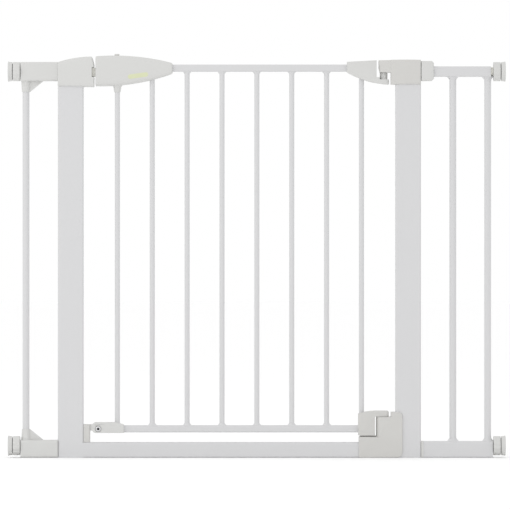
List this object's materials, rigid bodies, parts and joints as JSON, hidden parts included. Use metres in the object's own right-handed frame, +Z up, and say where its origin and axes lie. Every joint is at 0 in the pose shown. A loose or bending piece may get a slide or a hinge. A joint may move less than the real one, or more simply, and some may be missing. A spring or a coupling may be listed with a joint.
{
  "type": "safety baby gate",
  "caption": "Pressure-fit metal safety gate with a lift-and-swing barred door, slide-button latch, side extensions and screw adjusters that press wall cups on a doorway.",
  "frame": {"origin": "floor level, mid-way between the outer faces of the wall cups, on the middle plane", "axes": "+X to the hinge side seen from the front, +Y to the back, +Z up; the front faces -Y"},
  "size_m": [0.913, 0.037, 0.7403],
  "materials": {
    "powder_coated_steel": "satin white powder coat",
    "white_moulded_plastic": "fine matt moulded texture",
    "grey_rubber": "matt",
    "zinc_plated_steel": "bright zinc",
    "grey_nylon": "natural moulded nylon"
  },
  "bodies": {
    "frame": {"left_post": "powder_coated_steel", "right_post": "powder_coated_steel", "threshold_rail": "powder_coated_steel", "latch_housing_front": "white_moulded_plastic", "latch_housing_rear": "white_moulded_plastic", "hinge_cover_front": "white_moulded_plastic", "hinge_cover_rear": "white_moulded_plastic", "lower_hinge_block": "white_moulded_plastic", "lower_latch_keeper": "white_moulded_plastic", "upper_hinge_pin": "zinc_plated_steel", "frame_cover_screws": "zinc_plated_steel", "extension_spigots": "grey_nylon", "spindle_nuts": "grey_nylon", "left_extension_top_sleeve": "white_moulded_plastic", "left_extension_bottom_sleeve": "white_moulded_plastic", "left_extension_bar": "powder_coated_steel", "right_extension_top_tube": "powder_coated_steel", "right_extension_bottom_tube": "powder_coated_steel", "right_extension_bar_inner": "powder_coated_steel", "right_extension_bar_outer": "powder_coated_steel", "right_extension_top_collar": "white_moulded_plastic", "right_extension_bottom_collar": "white_moulded_plastic"},
    "hinge_bush": {"lower_hinge_bush": "grey_nylon"},
    "door": {"door_top_rail": "powder_coated_steel", "door_bottom_rail": "powder_coated_steel", "door_bar_1": "powder_coated_steel", "door_bar_2": "powder_coated_steel", "door_bar_3": "powder_coated_steel", "door_bar_4": "powder_coated_steel", "door_bar_5": "powder_coated_steel", "door_bar_6": "powder_coated_steel", "door_bar_7": "powder_coated_steel", "door_bar_8": "powder_coated_steel", "handle_front": "white_moulded_plastic", "handle_rear": "white_moulded_plastic", "handle_screws": "zinc_plated_steel", "latch_spring": "zinc_plated_steel", "door_hinge_upper": "white_moulded_plastic", "door_hinge_lower": "white_moulded_plastic", "lower_hinge_pin": "zinc_plated_steel", "door_lower_latch": "white_moulded_plastic", "lower_latch_screw": "zinc_plated_steel"},
    "latch_slide": {"release_button": "white_moulded_plastic", "latch_bolt": "grey_nylon"},
    "pad_left_top": {"rubber_bumper_left_top": "grey_rubber", "wall_cup_left_top": "white_moulded_plastic"},
    "screw_left_top": {"spindle_left_top": "zinc_plated_steel", "tension_knob_left_top": "white_moulded_plastic"},
    "pad_left_bottom": {"rubber_bumper_left_bottom": "grey_rubber", "wall_cup_left_bottom": "white_moulded_plastic"},
    "screw_left_bottom": {"spindle_left_bottom": "zinc_plated_steel", "tension_knob_left_bottom": "white_moulded_plastic"},
    "pad_right_top": {"rubber_bumper_right_top": "grey_rubber", "wall_cup_right_top": "white_moulded_plastic"},
    "screw_right_top": {"spindle_right_top": "zinc_plated_steel", "tension_knob_right_top": "white_moulded_plastic"},
    "pad_right_bottom": {"rubber_bumper_right_bottom": "grey_rubber", "wall_cup_right_bottom": "white_moulded_plastic"},
    "screw_right_bottom": {"spindle_right_bottom": "zinc_plated_steel", "tension_knob_right_bottom": "white_moulded_plastic"}
  },
  "joints": [
    {"name": "door_swing", "type": "hinge", "parent": "frame", "child": "hinge_bush", "pos_m": [0.2329, 0, 0.045], "axis": [0, 0, 1], "range_deg": [-90, 90]},
    {"name": "door_lift", "type": "slide", "parent": "hinge_bush", "child": "door", "axis": [0, 0, 1], "range_m": [0, 0.008]},
    {"name": "button_slide", "type": "slide", "parent": "door", "child": "latch_slide", "axis": [1, 0, 0], "range_m": [0, 0.01], "stiffness_N_per_m": 300, "springref_m": -0.004, "deforming": ["latch_spring"]},
    {"name": "spindle_advance_left_top", "type": "slide", "parent": "frame", "child": "pad_left_top", "axis": [-1, 0, 0], "range_m": [0, 0.035]},
    {"name": "knob_turn_left_top", "type": "hinge", "parent": "pad_left_top", "child": "screw_left_top", "pos_m": [-0.44, 0, 0.708], "axis": [-1, 0, 0], "range_deg": [0, 8400]},
    {"name": "spindle_advance_left_bottom", "type": "slide", "parent": "frame", "child": "pad_left_bottom", "axis": [-1, 0, 0], "range_m": [0, 0.035]},
    {"name": "knob_turn_left_bottom", "type": "hinge", "parent": "pad_left_bottom", "child": "screw_left_bottom", "pos_m": [-0.44, 0, 0.0215], "axis": [-1, 0, 0], "range_deg": [0, 8400]},
    {"name": "spindle_advance_right_top", "type": "slide", "parent": "frame", "child": "pad_right_top", "axis": [1, 0, 0], "range_m": [0, 0.035]},
    {"name": "knob_turn_right_top", "type": "hinge", "parent": "pad_right_top", "child": "screw_right_top", "pos_m": [0.44, 0, 0.708], "axis": [1, 0, 0], "range_deg": [0, 8400]},
    {"name": "spindle_advance_right_bottom", "type": "slide", "parent": "frame", "child": "pad_right_bottom", "axis": [1, 0, 0], "range_m": [0, 0.035]},
    {"name": "knob_turn_right_bottom", "type": "hinge", "parent": "pad_right_bottom", "child": "screw_right_bottom", "pos_m": [0.44, 0, 0.0215], "axis": [1, 0, 0], "range_deg": [0, 8400]}
  ],
  "couplings": [
    {"joint": "knob_turn_left_top", "follows": "spindle_advance_left_top", "rad_per_m": 4188.8},
    {"joint": "knob_turn_left_bottom", "follows": "spindle_advance_left_bottom", "rad_per_m": 4188.8},
    {"joint": "knob_turn_right_top", "follows": "spindle_advance_right_top", "rad_per_m": 4188.8},
    {"joint": "knob_turn_right_bottom", "follows": "spindle_advance_right_bottom", "rad_per_m": 4188.8}
  ]
}
